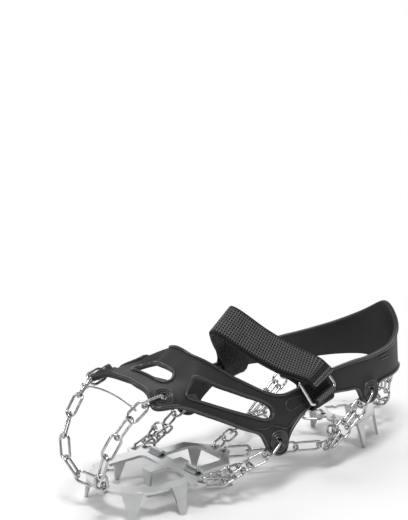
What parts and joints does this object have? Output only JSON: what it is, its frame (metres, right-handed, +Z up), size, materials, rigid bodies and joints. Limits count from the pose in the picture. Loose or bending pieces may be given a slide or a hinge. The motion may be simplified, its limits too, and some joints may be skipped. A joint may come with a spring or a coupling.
{
  "type": "ice cleat",
  "caption": "Pull-on ice cleat: hinged spiked steel plates under the foot, joined by welded chains to a stretchy moulded harness with a buckled instep strap.",
  "frame": {"origin": "centre of the bounding box at the level of the spike tips", "axes": "+X from toe to heel, +Y to the side away from the buckle, +Z up"},
  "size_m": [0.3126, 0.1168, 0.1303],
  "materials": {
    "steel": "satin",
    "chain": "polished",
    "ring_steel": "polished",
    "elastomer": "matte",
    "webbing": "matte",
    "keeper_webbing": "matte"
  },
  "bodies": {
    "harness": {"front_plate": "steel", "heel_plate": "steel", "toe_chain_near": "chain", "toe_chain_far": "chain", "mid_strands_near": "chain", "mid_strands_far": "chain", "corner_link_near": "chain", "corner_link_far": "chain", "arch_rear_near": "chain", "arch_rear_far": "chain", "heel_strands_near": "chain", "heel_strands_far": "chain", "rear_strands": "chain", "harness": "elastomer", "strap": "webbing", "ring_keeper": "keeper_webbing"},
    "ball_plate": {"ball_plate": "steel"},
    "arch_front_near": {"arch_front_near": "chain"},
    "arch_front_far": {"arch_front_far": "chain"},
    "toe_link_near": {"toe_link_near": "chain"},
    "toe_link_far": {"toe_link_far": "chain"},
    "mid_link_near": {"mid_link_near": "chain"},
    "mid_link_far": {"mid_link_far": "chain"},
    "heel_link_near": {"heel_link_near": "chain"},
    "heel_link_far": {"heel_link_far": "chain"},
    "rear_link": {"rear_link": "chain"},
    "toe_wire": {"toe_wire": "chain"},
    "buckle_ring": {"buckle_ring": "ring_steel"},
    "strap_end": {"strap_end": "webbing"}
  },
  "joints": [
    {"name": "ball_plate_hinge", "type": "hinge", "parent": "harness", "child": "ball_plate", "pos_m": [-0.07126, 0, 0.02], "axis": [0, 1, 0], "range_deg": [-8, 8]},
    {"name": "arch_chain_near_swing", "type": "hinge", "parent": "harness", "child": "arch_front_near", "pos_m": [0.03707, -0.0388, 0.02], "axis": [0, 1, 0], "range_deg": [-5, 5]},
    {"name": "arch_chain_far_swing", "type": "hinge", "parent": "harness", "child": "arch_front_far", "pos_m": [0.03707, 0.0388, 0.02], "axis": [0, 1, 0], "range_deg": [-5, 5]},
    {"name": "toe_link_near_roll", "type": "hinge", "parent": "harness", "child": "toe_link_near", "pos_m": [-0.11051, -0.0345, 0.0885], "axis": [-0.9677, 0.1823, -0.1742], "range_deg": [-8, 8]},
    {"name": "toe_link_far_roll", "type": "hinge", "parent": "harness", "child": "toe_link_far", "pos_m": [-0.11051, 0.0345, 0.0885], "axis": [-0.9677, -0.1823, -0.1742], "range_deg": [-8, 8]},
    {"name": "mid_link_near_roll", "type": "hinge", "parent": "harness", "child": "mid_link_near", "pos_m": [-0.01851, -0.0515, 0.041], "axis": [-0.8042, -0.1016, -0.5856], "range_deg": [-8, 8]},
    {"name": "mid_link_far_roll", "type": "hinge", "parent": "harness", "child": "mid_link_far", "pos_m": [-0.01851, 0.0515, 0.041], "axis": [-0.8042, 0.1016, -0.5856], "range_deg": [-8, 8]},
    {"name": "heel_link_near_roll", "type": "hinge", "parent": "harness", "child": "heel_link_near", "pos_m": [0.08549, -0.0425, 0.055], "axis": [-0.6591, -0.1085, -0.7442], "range_deg": [-8, 8]},
    {"name": "heel_link_far_roll", "type": "hinge", "parent": "harness", "child": "heel_link_far", "pos_m": [0.08549, 0.0425, 0.055], "axis": [-0.6591, 0.1085, -0.7442], "range_deg": [-8, 8]},
    {"name": "rear_link_roll", "type": "hinge", "parent": "harness", "child": "rear_link", "pos_m": [0.15049, 0, 0.06], "axis": [0, 0, -1], "range_deg": [-8, 8]},
    {"name": "toe_wire_swing", "type": "hinge", "parent": "harness", "child": "toe_wire", "pos_m": [-0.13134, 0, 0.08421], "axis": [0, 1, 0], "range_deg": [-10, 15]},
    {"name": "buckle_ring_swing", "type": "hinge", "parent": "harness", "child": "buckle_ring", "pos_m": [0.02629, -0.0526, 0.0658], "axis": [0.9401, 0.1516, 0.3053], "range_deg": [-1.5, 1.5]},
    {"name": "strap_end_peel", "type": "hinge", "parent": "harness", "child": "strap_end", "pos_m": [-0.01128, -0.02034, 0.10673], "axis": [-0.74, -0.18, -0.648], "range_deg": [0, 60]}
  ],
  "couplings": [
    {"joint": "arch_chain_near_swing", "follows": "ball_plate_hinge", "ratio": -0.609},
    {"joint": "arch_chain_far_swing", "follows": "ball_plate_hinge", "ratio": -0.609}
  ]
}
